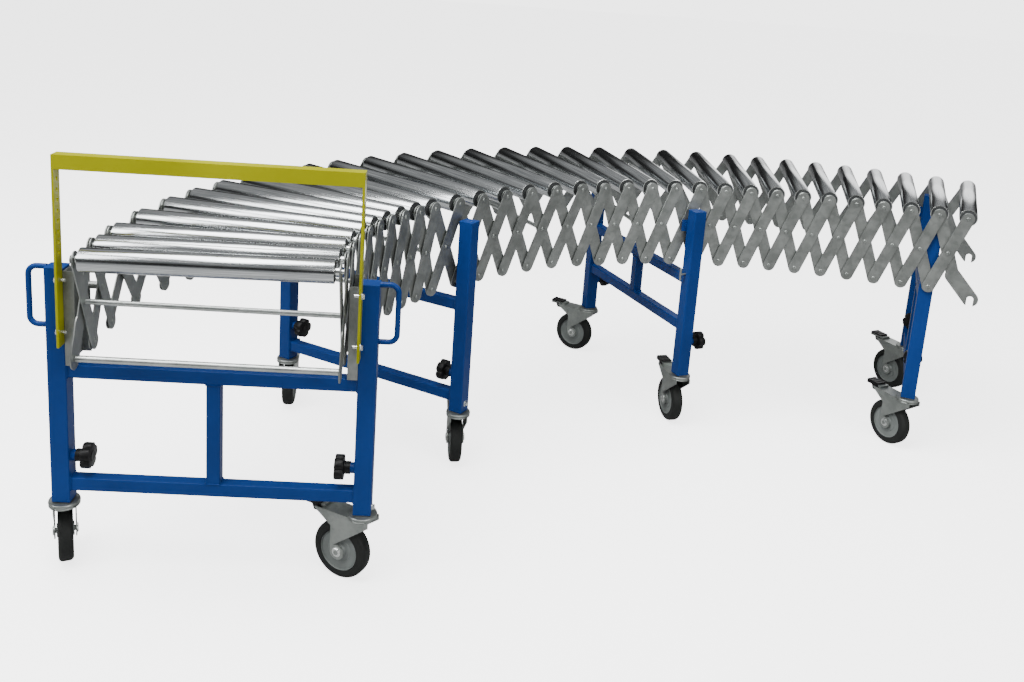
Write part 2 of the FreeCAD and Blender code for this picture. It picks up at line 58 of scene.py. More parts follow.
UP = Vector((0.0, 0.0, 1.0))
FACING = 0.9  # cosine above which a face or an edge looks along an axis
SMALLEST_INSET = 0.00002
IMAGE_WIDTH, IMAGE_HEIGHT = 1024, 682
JOINTS = {joint["name"]: (Vector(joint["pos_m"]), Vector(joint["axis"])) for joint in frame["joints"]}


class Pick(Enum):
    """What is selected in edit mode."""

    FACES = "FACE"
    EDGES = "EDGE"
    POINTS = "VERT"


class End(Enum):
    """Which end faces of a bar along X are worked on."""

    OUTER = 1
    INNER = -1
    BOTH = 0

    def faces(self, way: Vector) -> bool:
        """Whether a face that looks this way belongs to the end."""
        return (way.x * self.value if self.value else abs(way.x)) > FACING


class Side(Enum):
    """The two chains, as seen from the end with the stop."""

    LEFT = -1
    RIGHT = 1


class Coat(Enum):
    """The finishes, by the record's material slot or by a name of their own."""

    ROLLER_TUBE = "roller_steel"
    GALVANISED = "zinc_steel"
    BLUE = "blue_paint"
    YELLOW = "yellow_paint"
    BLACK_PLASTIC = "black_plastic"
    # plated steel of the castors; it also paints a highlight on the link bars' rounded edges and on the rivet
    # domes
    CASTOR_ZINC = "castor_steel"
    TYRE = "tyre_rubber"
    WHEEL_CENTRE = "wheel_centre"
    BEARING_SEAL = "bearing_seal"
    # bright steel of the fasteners; it also paints a highlight on the roller tubes' rim ends and rounded edges
    FASTENER = "bright_fastener"
    ROD = "drawn_rod"


class Wiring:
    """A node tree, with short calls for what is common to finishes and surroundings."""

    def __init__(self, tree: bpy.types.NodeTree) -> None:
        """Take up a node tree."""
        self.tree = tree

    def feed(self, node: Node, inputs: Feed) -> None:
        """Feed the inputs of a node.

        Args:
            node: the node.
            inputs: for each input a socket that is joined to it, or a value.
        """
        for key, value in inputs.items():
            if isinstance(value, Socket):
                self.tree.links.new(value, node.inputs[key])
            else:
                node.inputs[key].default_value = value

    def make(self, kind: str, output: str, inputs: Feed, **settings: object) -> Socket:
        """Add a node and feed it.

        Args:
            kind: the node's type.
            output: the output that is handed back.
            inputs: what its inputs are fed with.
            settings: properties to set on it.

        Returns:
            The output.
        """
        node = self.tree.nodes.new(kind)
        for key, value in settings.items():
            setattr(node, key, value)
        self.feed(node, inputs)
        return node.outputs[output]

    def remap(self, source: Socket, low: float, high: float, start: float = 0.3, end: float = 0.7) -> Socket:
        """Spread a pattern, read from start to end, between a low and a high value."""
        return self.make("ShaderNodeMapRange", "Result", {
            "Value": source, "From Min": start, "From Max": end, "To Min": low, "To Max": high})

    def ramp(self, factor: Socket, stops: Iterable[tuple[float, Colour]]) -> Socket:
        """Colour a pattern.

        Args:
            factor: the pattern.
            stops: reading and colour of each stop, from low to high.

        Returns:
            The colour.
        """
        node = self.tree.nodes.new("ShaderNodeValToRGB")
        elements = node.color_ramp.elements
        elements.remove(elements[1])
        for index, (place, colour) in enumerate(stops):
            stop = elements.new(place) if index else elements[0]
            stop.position, stop.color = place, (*colour, 1.0)
        self.feed(node, {"Fac": factor})
        return node.outputs["Color"]


class NodeBoard(Wiring):
    """The node tree of one finish, with short calls for its patterns."""

    def __init__(self, name: str) -> None:
        """Start a material with its surface shader and the piece's own coordinates.

        Args:
            name: name of the material.
        """
        self.material = bpy.data.materials.new(name)
        self.material.use_nodes = True
        super().__init__(self.material.node_tree)
        self.shader = self.tree.nodes["Principled BSDF"]
        self.place = self.make("ShaderNodeTexCoord", "Object", {})

    def stretched(self, source: Socket, scale: Colour) -> Socket:
        """Scale coordinates by a factor for each axis."""
        return self.make("ShaderNodeMapping", "Vector", {"Vector": source, "Scale": scale})

    def noise(self, source: Socket, scale: float, detail: float = 3.0) -> Socket:
        """Cloudy pattern from 0 to 1, by how fine it is and how many finer layers it has."""
        return self.make("ShaderNodeTexNoise", "Fac", {"Vector": source, "Scale": scale, "Detail": detail})

    def cells(self, scale: float) -> Socket:
        """Crystal pattern of hot-dip zinc, with a random colour for each crystal."""
        return self.make("ShaderNodeTexVoronoi", "Color", {"Vector": self.place, "Scale": scale})

    def blend(self, factor: Socket, first: Colour, second: Colour) -> Socket:
        """Blend from a first colour, where a pattern is low, to a second."""
        return self.ramp(factor, ((0.3, first), (0.7, second)))

    def total(self, first: Socket, second: Socket, share: float) -> Socket:
        """Add a share of a second pattern to a first."""
        return self.make("ShaderNodeMath", "Value", {0: second, 1: share, 2: first},
                         operation="MULTIPLY_ADD")

    def relief(self, height: Socket, strength: float, depth: float) -> Socket:
        """Raise the surface by a share of a pattern that is so many metres deep."""
        return self.make("ShaderNodeBump", "Normal", {
            "Height": height, "Strength": strength, "Distance": depth})


@dataclass(frozen=True)
class Finish:
    """A surface between a light and a dark shade, smooth and rough in places."""

    name: str
    light: Colour
    dark: Colour
    smooth: float
    rough: float

    def wire(self, board: NodeBoard) -> Feed:
        """Wire the patterns.

        Args:
            board: the material's node tree.

        Returns:
            What its surface shader is fed with.
        """
        raise NotImplementedError

    def paint(self) -> Material:
        """Build the material.

        Returns:
            The material.
        """
        board = NodeBoard(self.name)
        board.feed(board.shader, self.wire(board))
        return board.material


@dataclass(frozen=True)
class TubeSteel(Finish):
    """Bright zinc-plated tube with fine lines along its length."""

    def wire(self, board: NodeBoard) -> Feed:
        """Wire lines along the tube, over faint clouds.

        Args:
            board: the material's node tree.

        Returns:
            What its surface shader is fed with.
        """
        skin = board.make("ShaderNodeUVMap", "UV", {}, uv_map="wrap")
        lines = board.noise(board.stretched(skin, (900.0, 6.0, 1.0)), 1.0, 4.0)
        mixed = board.total(lines, board.noise(board.place, 14.0, 4.0), 0.12)
        return {"Base Color": board.blend(board.remap(mixed, 0.0, 1.0, 0.4, 0.8), self.dark, self.light),
                "Roughness": board.remap(mixed, self.smooth, self.rough, 0.4, 0.8),
                "Normal": board.relief(lines, 0.55, 0.0002), "Metallic": 1.0}


@dataclass(frozen=True)
class ZincSteel(Finish):
    """Zinc-coated steel with pale crystals, clouds and fine scuffs."""

    crystals: float = 90.0
    metal: float = 0.9

    def wire(self, board: NodeBoard) -> Feed:
        """Wire crystals and clouds, with scuffs in the gloss and the relief.

        Args:
            board: the material's node tree.

        Returns:
            What its surface shader is fed with.
        """
        clouds = board.noise(board.place, 22.0, 5.0)
        scuffs = board.noise(board.stretched(board.place, (40.0, 40.0, 900.0)), 1.0, 2.0)
        mixed = board.total(clouds, board.cells(self.crystals), 0.22)
        return {"Base Color": board.blend(board.remap(mixed, 0.15, 0.85, 0.35, 0.9), self.dark, self.light),
                "Roughness": board.remap(board.total(mixed, scuffs, 0.3), self.smooth, self.rough, 0.45, 1.0),
                "Normal": board.relief(board.total(scuffs, clouds, 1.0), 0.15, 0.0003),
                "Metallic": self.metal}


@dataclass(frozen=True)
class PowderCoat(Finish):
    """Sprayed and baked paint with a fine orange-peel skin and rubbed patches."""

    smooth: float = 0.3
    rough: float = 0.46

    def wire(self, board: NodeBoard) -> Feed:
        """Wire patches and specks, with the peel in the gloss and the relief.

        Args:
            board: the material's node tree.

        Returns:
            What its surface shader is fed with.
        """
        patches = board.noise(board.place, 7.0, 5.0)
        peel, specks = board.noise(board.place, 520.0, 2.0), board.noise(board.place, 1500.0, 1.0)
        return {"Base Color": board.blend(board.total(patches, specks, 0.12), self.dark, self.light),
                "Roughness": board.remap(board.total(patches, peel, 0.3), self.smooth, self.rough,
                                         0.45, 0.85),
                "Normal": board.relief(peel, 0.22, 0.0004), "Specular IOR Level": 0.16}


@dataclass(frozen=True)
class Moulding(Finish):
    """Moulded plastic or rubber with a fine grain and light dust."""

    grain: float = 900.0

    def wire(self, board: NodeBoard) -> Feed:
        """Wire dust over the grain.

        Args:
            board: the material's node tree.

        Returns:
            What its surface shader is fed with.
        """
        dust, grain = board.noise(board.place, 30.0, 6.0), board.noise(board.place, self.grain, 2.0)
        return {"Base Color": board.blend(board.total(dust, grain, 0.25), self.dark, self.light),
                "Roughness": board.remap(dust, self.smooth, self.rough),
                "Normal": board.relief(grain, 0.2, 0.0004), "Specular IOR Level": 0.2}


@dataclass
class FinishBook:
    """Every finish of the conveyor, made once."""

    ready: dict[Coat, Material] = field(default_factory=dict)

    def fill(self) -> None:
        """Make the finishes."""
        recipes = {
            Coat.ROLLER_TUBE: TubeSteel("roller tube steel", (0.68, 0.70, 0.70), (0.40, 0.42, 0.43),
                                        0.13, 0.24),
            Coat.GALVANISED: ZincSteel("galvanised link steel", (0.30, 0.315, 0.303), (0.215, 0.228, 0.218),
                                       0.36, 0.52),
            # this castor zinc also paints a highlight on the link bars' rounded edges and the rivet domes
            Coat.CASTOR_ZINC: ZincSteel("plated castor steel", (0.33, 0.352, 0.335), (0.245, 0.265, 0.252),
                                        0.3, 0.44, 160.0),
            # this bright zinc also paints a highlight on the roller tubes' rims
            Coat.FASTENER: ZincSteel("bright fastener zinc", (0.80, 0.82, 0.80), (0.62, 0.65, 0.63),
                                     0.16, 0.3, 240.0, 1.0),
            Coat.ROD: ZincSteel("drawn rod steel", (0.56, 0.585, 0.57), (0.44, 0.465, 0.45),
                                0.3, 0.42, 200.0, 1.0),
            Coat.BLUE: PowderCoat("blue powder coat", (0.0034, 0.0340, 0.172), (0.0024, 0.0255, 0.132)),
            Coat.YELLOW: PowderCoat("yellow powder coat", (0.31, 0.31, 0.0), (0.26, 0.26, 0.0)),
            Coat.BLACK_PLASTIC: Moulding("black moulded plastic", (0.0045, 0.0045, 0.0048),
                                         (0.0022, 0.0022, 0.0024), 0.32, 0.5),
            Coat.TYRE: Moulding("tyre rubber", (0.014, 0.0155, 0.0145), (0.008, 0.009, 0.0085),
                                0.5, 0.75, 400.0),
            Coat.WHEEL_CENTRE: Moulding("grey wheel centre", (0.165, 0.181, 0.175), (0.125, 0.138, 0.132),
                                        0.35, 0.5, 700.0),
            Coat.BEARING_SEAL: Moulding("bearing seal", (0.050, 0.053, 0.054), (0.028, 0.030, 0.031),
                                        0.4, 0.6, 1200.0),
        }
        for coat, recipe in recipes.items():
            self.ready[coat] = recipe.paint()
            LOG.info("finish %s", recipe.name)

    def dress(self, piece: Piece, *coats: Coat) -> None:
        """Give a piece its finishes.

        Args:
            piece: the object.
            coats: the finishes, in the order of its material slots.
        """
        slots = piece.data.materials
        while len(slots) > len(coats):
            slots.pop()
        for index, coat in enumerate(coats):
            if index < len(slots):
                slots[index] = self.ready[coat]
            else:
                slots.append(self.ready[coat])

    def dress_solids(self) -> None:
        """Give every carried-over solid the finish of its slot in the record."""
        for part in frame["record"]["subparts"]:
            self.dress(frame["nodes"][part["node"]], Coat(part["material_slot"]))
        self.dress(frame["nodes"]["cross_rods"], Coat.ROD)


class Bench:
    """The bench: one mesh at a time, modelled in edit mode."""

    @staticmethod
    def clear() -> None:
        """Select nothing."""
        bpy.ops.object.select_all(action="DESELECT")

    @staticmethod
    def begin(name: str) -> None:
        """Name the new primitive, apply its place and go into edit mode.

        Args:
            name: the object's name.
        """
        piece = bpy.context.object
        piece.name = name
        piece.data.name = name
        bpy.ops.object.transform_apply(location=True, rotation=True, scale=True)
        bpy.ops.object.mode_set(mode="EDIT")

    @classmethod
    def round_bar(cls, name: str, radius: float, length: float, sides: int, middle: float = 0.0) -> None:
        """Start a round bar along X and go into edit mode.

        Args:
            name: the object's name.
            radius: radius of the bar.
            length: its length.
            sides: number of its sides.
            middle: where its middle is along X.
        """
        cls.clear()
        bpy.ops.mesh.primitive_cylinder_add(vertices=sides, radius=radius, depth=length,
                                            location=(middle, 0.0, 0.0), rotation=(0.0, math.pi / 2, 0.0))
        cls.begin(name)

    @classmethod
    def block(cls, name: str, low: Vector, high: Vector) -> None:
        """Start a block between two corners and go into edit mode.

        Args:
            name: the object's name.
            low: lowest corner.
            high: highest corner.
        """
        cls.clear()
        bpy.ops.mesh.primitive_cube_add(size=1.0, location=(low + high) / 2)
        bpy.context.object.scale = high - low
        cls.begin(name)

    @staticmethod
    def pick(kind: Pick, test: Test) -> None:
        """Select faces, edges or points by their place and direction.

        Args:
            kind: what is selected.
            test: takes the middle, and the normal or direction.
        """
        bpy.ops.mesh.select_mode(type=kind.value)
        bpy.ops.mesh.select_all(action="DESELECT")
        mesh = bmesh.from_edit_mesh(bpy.context.object.data)
        if kind is Pick.FACES:
            items = [(face, face.calc_center_median(), face.normal) for face in mesh.faces]
        elif kind is Pick.EDGES:
            items = [(edge, (edge.verts[0].co + edge.verts[1].co) / 2,
                      (edge.verts[1].co - edge.verts[0].co).normalized()) for edge in mesh.edges]
        else:
            items = [(point, point.co, point.normal) for point in mesh.verts]
        for item in [item for item, place, way in items if test(place, way)]:
            item.select_set(True)
        mesh.select_flush_mode()
        bmesh.update_edit_mesh(bpy.context.object.data)

    @classmethod
    def pick_end(cls, end: End) -> None:
        """Select the end faces of a bar along X."""
        cls.pick(Pick.FACES, lambda place, way: end.faces(way))

    @staticmethod
    def steps(*rows: tuple[float, float]) -> None:
        """Inset the chosen faces, by rows of the rim's width and how far the inner face goes out."""
        for inward, rise in rows:
            bpy.ops.mesh.inset(thickness=max(inward, SMALLEST_INSET), depth=rise)

    @classmethod
    def open_up(cls, rims: Test) -> None:
        """Cut the chosen faces out and join the rims that they leave by a wall.

        Args:
            rims: picks the rims' edges.
        """
        bpy.ops.mesh.delete(type="FACE")
        cls.pick(Pick.EDGES, rims)
        bpy.ops.mesh.bridge_edge_loops()

    @classmethod
    def round_edges(cls, size: float, segments: int, test: Test) -> None:
        """Pick edges and round them."""
        cls.pick(Pick.EDGES, test)
        bpy.ops.mesh.bevel(offset=size, segments=segments, affect="EDGES")

    @staticmethod
    def finish(angle: float) -> Piece:
        """Merge doubles, turn the faces outwards, leave edit mode and smooth the piece.

        Args:
            angle: edges sharper than this stay sharp, in degrees.

        Returns:
            The object.
        """
        bpy.ops.mesh.select_all(action="SELECT")
        bpy.ops.mesh.remove_doubles(threshold=0.000005)
        bpy.ops.mesh.normals_make_consistent(inside=False)
        bpy.ops.object.mode_set(mode="OBJECT")
        bpy.ops.object.shade_smooth_by_angle(angle=math.radians(angle))
        return bpy.context.object

    @staticmethod
    def colour_faces(piece: Piece, index: int, test: Test) -> None:
        """Give faces a material slot by their place.

        Args:
            piece: the object.
            index: number of the slot.
            test: takes a face's middle and normal.
        """
        for face in piece.data.polygons:
            if test(face.center, face.normal):
                face.material_index = index

    @staticmethod
    def stamp(model: Piece, place: Matrix, reach: float = 0.0) -> Piece:
        """Copy a model with its own mesh and set the copy in place.

        Args:
            model: the object that is copied.
            place: where the copy goes.
            reach: how much longer the copy is along X.

        Returns:
            The copy.
        """
        copy = model.copy()
        copy.data = model.data.copy()
        if reach:
            for point in copy.data.vertices:
                if point.co.x > 0.1:
                    point.co.x += reach
        copy.data.transform(place)
        bpy.context.scene.collection.objects.link(copy)
        return copy

    @classmethod
    def gather(cls, name: str, copies: Iterable[Piece]) -> Piece:
        """Join objects into one piece.

        Args:
            name: the piece's name.
            copies: the objects.

        Returns:
            The piece.
        """
        cls.clear()
        group = list(copies)
        for item in group:
            item.select_set(True)
        bpy.context.view_layer.objects.active = group[0]
        if len(group) > 1:
            bpy.ops.object.join()
        piece = bpy.context.object
        piece.name = name
        piece.data.name = name
        return piece

    @staticmethod
    def discard(*models: Piece) -> None:
        """Remove models whose copies are in place."""
        for model in models:
            bpy.data.objects.remove(model, do_unlink=True)

    @staticmethod
    def wrap(piece: Piece, radius: float) -> None:
        """Wrap a map round the X axis: distance round the bar, and distance along it, in metres.

        Args:
            piece: the object, still along X.
            radius: radius of the bar.
        """
        layer = piece.data.uv_layers.get("wrap") or piece.data.uv_layers.new(name="wrap")
        points = piece.data.vertices
        for face in piece.data.polygons:
            middle = math.atan2(face.center.z, face.center.y)
            for loop in face.loop_indices:
                place = points[piece.data.loops[loop].vertex_index].co
                turn = math.atan2(place.z, place.y) - middle
                turn = (turn + math.pi) % (2 * math.pi) - math.pi
                layer.data[loop].uv = ((middle + turn) * radius, place.x)


def axes(x_way: Vector, centre: Vector) -> Matrix:
    """Place for a model made along X, with its Z as near upright as it can be.

    Args:
        x_way: direction that the model's X takes.
        centre: where its origin goes.

    Returns:
        The place.
    """
    x_axis = x_way.normalized()
    hint = UP if abs(x_axis.z) < 0.99 else Vector((0.0, 1.0, 0.0))
    y_axis = hint.cross(x_axis).normalized()
    z_axis = x_axis.cross(y_axis)
    place = Matrix((x_axis, y_axis, z_axis)).transposed().to_4x4()
    place.translation = centre
    return place


@dataclass(frozen=True)
class FramePlace:
    """Where a leg frame stands in plan."""

    middle: Vector
    beside: Vector
    ahead: Vector
    spread: float

    @classmethod
    def find(cls, number: int) -> "FramePlace":
        """Find a leg frame from the kingpins of its castors.

        Args:
            number: number of the frame, from the end with the stop.

        Returns:
            Its place.
        """
        left, right = (JOINTS[f"castor_swivel_{number}_{side.name.lower()}"][0].copy() for side in Side)
        left.z = right.z = 0.0
        beside = (right - left).normalized()
        return cls((left + right) / 2, beside, Vector((-beside.y, beside.x, 0.0)), (right - left).length / 2)

    def spot(self, x: float, y: float, z: float) -> Vector:
        """Point so far towards the right leg, into the bed and above the floor."""
        return self.middle + self.beside * x + self.ahead * y + UP * z


@dataclass
class SubAssembly:
    """What every sub-assembly shares."""

    finishes: FinishBook

    def seat(self, name: str, copies: Iterable[Piece], body: str, slot: Coat, coats: Iterable[Coat] = (),
             stands_for: Iterable[str] = ()) -> None:
        """Join copies into one piece, dress it and let it ride on its body.

        Args:
            name: the piece's name.
            copies: the objects that it is joined from.
            body: the body that carries it.
            slot: the record's slot that it takes its finish from.
            coats: its finishes, where they are more than the slot's own.
            stands_for: solids that it replaces.
        """
        piece = Bench.gather(name, copies)
        self.finishes.dress(piece, *(tuple(coats) or (slot,)))
        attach(piece, body)
        names = list(stands_for)
        if names:
            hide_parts(*names)
        triangles = sum(len(face.vertices) - 2 for face in piece.data.polygons)
        LOG.info("%s on %s, %d triangles", piece.name, body, triangles)

    def finished(self, angle: float, *coats: Coat) -> Piece:
        """Finish the model on the bench and dress it.

        Args:
            angle: edges sharper than this stay sharp, in degrees.
            coats: its finishes, in the order of its material slots.

        Returns:
            The model.
        """
        piece = Bench.finish(angle)
        self.finishes.dress(piece, *coats)
        return piece

    def turned(self, coat: Coat, name: str, radius: float, length: float, sides: int, middle: float,
               end: End, *rows: tuple[float, float], angle: float = 35.0) -> Piece:
        """Model a turned part along X, worked on at its ends.

        Args:
            coat: its finish.
            name: the object's name.
            radius: its radius.
            length: its length.
            sides: number of its sides.
            middle: where its middle is along X.
            end: which ends are worked on.
            rows: the steps of each end, from its rim inwards.
            angle: edges sharper than this stay sharp, in degrees.

        Returns:
            The part.
        """
        Bench.round_bar(name, radius, length, sides, middle)
        Bench.pick_end(end)
        Bench.steps(*rows)
        return self.finished(angle, coat)


@dataclass
class Rollers(SubAssembly):
    """The rollers of the bed, each on its own axle."""

    count: int = 31
    length: float = 0.5
    radius: float = 0.025
    rim: float = 0.0022
    seal_depth: float = 0.0012
    hub_radius: float = 0.0165
    hub_rise: float = 0.0007
    race_radius: float = 0.0105
    race_rim: float = 0.001
    bore: float = 0.00509
    sides: int = 48
    turn: float = 0.7

    def model(self) -> Piece:
        """Model one roller along X.

        Returns:
            The roller.
        """
        half = self.length / 2
        Bench.round_bar("roller model", self.radius, self.length, self.sides)
        Bench.pick_end(End.BOTH)
        Bench.steps((self.rim, 0.0), (0.0, -self.seal_depth), (self.radius - self.rim - self.hub_radius, 0.0),
                    (0.0, self.hub_rise), (self.hub_radius - self.race_radius - self.race_rim, 0.0),
                    (0.0, -0.0005), (self.race_rim, 0.0), (self.race_radius - self.bore, 0.0))
        Bench.open_up(lambda place, way: place.yz.length < self.bore + 0.0001)
        Bench.round_edges(0.0006, 2, lambda place, way: abs(abs(place.x) - half) < 0.00005
                          and place.yz.length > self.radius - 0.0003 and abs(way.x) < 0.5)
        piece = Bench.finish(35.0)
        Bench.colour_faces(piece, 1, lambda place, way: self.race_radius < place.yz.length
                           < self.radius - self.rim + SMALLEST_INSET and abs(place.x) > half - 0.01)
        # slot 2, the bright fastener zinc, goes on the bearing's inner race, which is bright steel, and on the
        # tube's rim end and its rounded edge, where it is a painted highlight
        Bench.colour_faces(piece, 2, lambda place, way: place.yz.length < self.race_radius
                           or (place.yz.length > self.radius - self.rim and abs(way.x) > 0.4))
        Bench.wrap(piece, self.radius)
        return piece

    def build(self) -> None:
        """Set a roller on each axle."""
        model = self.model()
        for number in range(1, self.count + 1):
            name = f"roller_{number:02d}"
            centre, axis = JOINTS[f"{name}_spin"]
            place = axes(axis, centre) @ Matrix.Rotation(self.turn * number, 4, "X")
            # the third finish is bright steel on the inner race and a painted highlight on the tube rim
            self.seat(f"{name}_tube", [Bench.stamp(model, place)], name, Coat.ROLLER_TUBE,
                      (Coat.ROLLER_TUBE, Coat.BEARING_SEAL, Coat.FASTENER), (name,))
        Bench.discard(model)


@dataclass
class ScissorChains(SubAssembly):
    """The two lazy-tongs chains: flat bars in two layers, their rivets and the axles."""

    count: int = 31
    link_length: float = 0.231
    width: float = 0.035
    thickness: float = 0.003
    inner: float = 0.2615
    outer: float = 0.2669
    rivet_radius: float = 0.0056
    washer_radius: float = 0.0086
    axle_radius: float = 0.005
    collar_radius: float = 0.009
    collar_length: float = 0.0083
    collar_place: float = 0.25515
    foot_width: float = 0.046
    foot_share: float = 0.3
    columns: list[tuple[Vector, Vector]] = field(default_factory=list)

    def pivot(self, index: int, side: Side, offset: float, drop: float = 0.0) -> Vector:
        """Pivot of a column, so far from the middle of the bed and so far below the axle."""
        centre, axis = self.columns[index]
        return centre + axis * (side.value * offset) - UP * drop

    def drop(self, index: int, side: Side) -> float:
        """How far the lower pivot hangs below the upper one.

        Args:
            index: number of the column.
            side: which chain.

        Returns:
            The drop.
        """
        last = self.count - 2
        pitches = [(self.pivot(first + 1, side, self.inner) - self.pivot(first, side, self.inner)).length
                   for first in (max(index - 1, 0), min(index, last))]
        return math.sqrt(self.link_length ** 2 - (sum(pitches) / 2) ** 2)

    def ends(self, top: int, bottom: int, side: Side, offset: float) -> tuple[Vector, Vector]:
        """Upper and lower pivot of a link."""
        return self.pivot(top, side, offset), self.pivot(bottom, side, offset, self.drop(bottom, side))

    def bar_model(self, width: float, length: float, thickness: float) -> Piece:
        """Model one flat bar with round ends from the origin along X.

        Args:
            width: width of the bar.
            length: distance between the middles of its ends.
            thickness: thickness of the bar.

        Returns:
            The bar.
        """
        r, t = width / 2, thickness / 2
        Bench.block("bar model", Vector((-r, -t, -r)), Vector((length + r, t, r)))
        Bench.round_edges(r - SMALLEST_INSET, 7, lambda place, way: abs(way.y) > FACING)
        Bench.round_edges(0.0005, 1, lambda place, way: abs(abs(place.y) - t) < 0.00001)
        piece = self.finished(30.0, Coat.GALVANISED, Coat.CASTOR_ZINC)
        # painted highlight: the rounded edges round both faces of the bar take the lighter, smoother castor zinc,
        # so they read as a bright line
        Bench.colour_faces(piece, 1, lambda place, way: 0.3 < abs(way.y) < 0.95)
        return piece

    def rivet_model(self) -> Piece:
        """Model one domed rivet on its low washer, out along X.

        Returns:
            The rivet.
        """
        piece = self.turned(Coat.GALVANISED, "rivet model", self.washer_radius, 0.0008, 14, 0.0002, End.OUTER,
                            (self.washer_radius - self.rivet_radius, 0.0), (0.0003, 0.0007),
                            (0.0014, 0.0006), (0.0016, 0.0002), angle=50.0)
        # painted highlight: the dome takes the lighter castor zinc in place of the small bright highlight on each
        # rivet, while the washer keeps the link's zinc
        Bench.colour_faces(piece, 1, lambda place, way: place.x > 0.0007
                           and place.yz.length < self.rivet_radius)
        self.finishes.dress(piece, Coat.GALVANISED, Coat.CASTOR_ZINC)
        return piece

    def layer(self, name: str, ends: list[tuple[Vector, Vector]], model: Piece,
              feet: list[Piece], rivets: list[Piece]) -> None:
        """Set the bars of one layer of both chains, with its rivets.

        Args:
            name: the solid that the layer stands for.
            ends: upper and lower end of each bar.
            model: the bar that is copied.
            feet: wide feet of the layer.
            rivets: rivets that belong to the layer.
        """
        # the second finish is a painted highlight on the bars' rounded edges and the rivet domes
        coats = (Coat.GALVANISED, Coat.CASTOR_ZINC)
        bars = [Bench.stamp(model, axes(end - start, start), (end - start).length - self.link_length)
                for start, end in ends]
        self.seat(f"{name}_bars", bars + feet, "conveyor_frame", Coat.GALVANISED, coats, (name,))
        self.seat(f"{name}_rivets", rivets, "conveyor_frame", Coat.GALVANISED, coats)

    def axle_model(self) -> Piece:
        """Model one axle with its collars along X.

        Returns:
            The axle.
        """
        length = 2 * (self.outer + self.thickness / 2)
        parts = [self.turned(Coat.FASTENER, "axle shaft", self.axle_radius, length, 16, 0.0, End.BOTH,
                             (0.0008, 0.0004))]
        for side in Side:
            parts.append(self.turned(Coat.FASTENER, "axle collar", self.collar_radius, self.collar_length, 20,
                                     side.value * self.collar_place, End.BOTH, (0.0012, 0.0006)))
        return Bench.gather("axle model", parts)

    def build(self) -> None:
        """Build both chains and the axles."""
        self.columns = [JOINTS[f"roller_{n:02d}_spin"] for n in range(1, self.count + 1)]
        bar = self.bar_model(self.width, self.link_length, self.thickness)
        foot = self.bar_model(self.foot_width, self.foot_share * self.link_length, self.thickness + 0.0001)
        rivet = self.rivet_model()
        outside = self.outer + self.thickness / 2
        inside = self.inner - self.thickness / 2
        outer_ends, inner_ends, feet, heads, backs, tops = [], [], [], [], [], []
        for side in Side:
            for pair in range(self.count - 1):
                start, end = self.ends(pair + 1, pair, side, self.outer)
                outer_ends.append((start, end))
                if pair == 0:
                    feet.append(Bench.stamp(foot, axes(start - end, end)))
                if pair < self.count - 2:
                    inner_ends.append(self.ends(pair, pair + 1, side, self.inner))
                middle = (start + end) / 2
                way = (self.columns[pair][1] + self.columns[pair + 1][1]).normalized() * side.value
                heads.append(Bench.stamp(rivet, axes(way, middle + way * (outside - self.outer))))
                backs.append(Bench.stamp(rivet, axes(-way, middle - way * (self.outer - inside))))
            for index, (centre, axis) in enumerate(self.columns):
                way = axis * side.value
                tops.append(Bench.stamp(rivet, axes(way, centre + way * outside)))
                if 0 < index < self.count - 1:
                    low = self.pivot(index, side, 0.0, self.drop(index, side))
                    heads.append(Bench.stamp(rivet, axes(way, low + way * outside)))
                    backs.append(Bench.stamp(rivet, axes(-way, low + way * inside)))
        self.layer("outer_links", outer_ends, bar, feet, heads)
        self.layer("inner_links", inner_ends, bar, [], backs)
        axle = self.axle_model()
        axles = [Bench.stamp(axle, axes(way, centre)) for centre, way in self.columns]
        self.seat("axles_with_collars", axles + tops, "conveyor_frame", Coat.GALVANISED,
                  (Coat.FASTENER, Coat.GALVANISED, Coat.CASTOR_ZINC), ("axles",))
        Bench.discard(bar, foot, rivet, axle)


@dataclass
class CastorWheels(SubAssembly):
    """The wheels: rubber tyres on dished grey centres."""

    radius: float = 0.069
    width: float = 0.032
    rim_radius: float = 0.048
    rib_radius: float = 0.030
    recess: float = 0.004
    hub_radius: float = 0.015
    hub_width: float = 0.037
    bore: float = 0.0063
    shoulder: float = 0.009

    def model(self) -> Piece:
        """Model one wheel along X.

        Returns:
            The wheel.
        """
        half = self.width / 2
        Bench.round_bar("wheel model", self.radius, self.width, 56)
        Bench.round_edges(self.shoulder, 5,
                          lambda place, way: abs(abs(place.x) - half) < 0.0001 and abs(way.x) < 0.5)
        Bench.pick(Pick.FACES, lambda place, way: abs(way.x) > 0.99 and place.yz.length < 0.001)
        Bench.steps((self.radius - self.shoulder - self.rim_radius - 0.003, 0.0), (0.0008, -0.0010),
                    (0.0014, 0.0), (0.0008, 0.0010), (0.0012, -self.recess),
                    (self.rim_radius - 0.0012 - self.rib_radius, 0.0), (0.0015, 0.0012),
                    (self.rib_radius - 0.0015 - self.hub_radius - 0.003, 0.0),
                    (0.003, self.recess + self.hub_width / 2 - half - 0.0012),
                    (self.hub_radius - self.bore - 0.001, 0.0), (0.001, -0.0008))
        Bench.open_up(lambda place, way: place.yz.length < self.bore + 0.0002)
        piece = Bench.finish(28.0)
        Bench.colour_faces(piece, 1, lambda place, way: place.yz.length < self.rim_radius - 0.0003)
        return piece

    def build(self) -> None:
        """Set a wheel in each castor."""
        model = self.model()
        for number in range(1, 5):
            for side in Side:
                name = f"castor_wheel_{number}_{side.name.lower()}"
                centre, axis = JOINTS[name.replace("wheel", "roll")]
                self.seat(f"{name}_tyre", [Bench.stamp(model, axes(axis, centre))], name, Coat.TYRE,
                          (Coat.TYRE, Coat.WHEEL_CENTRE), (name,))
        Bench.discard(model)


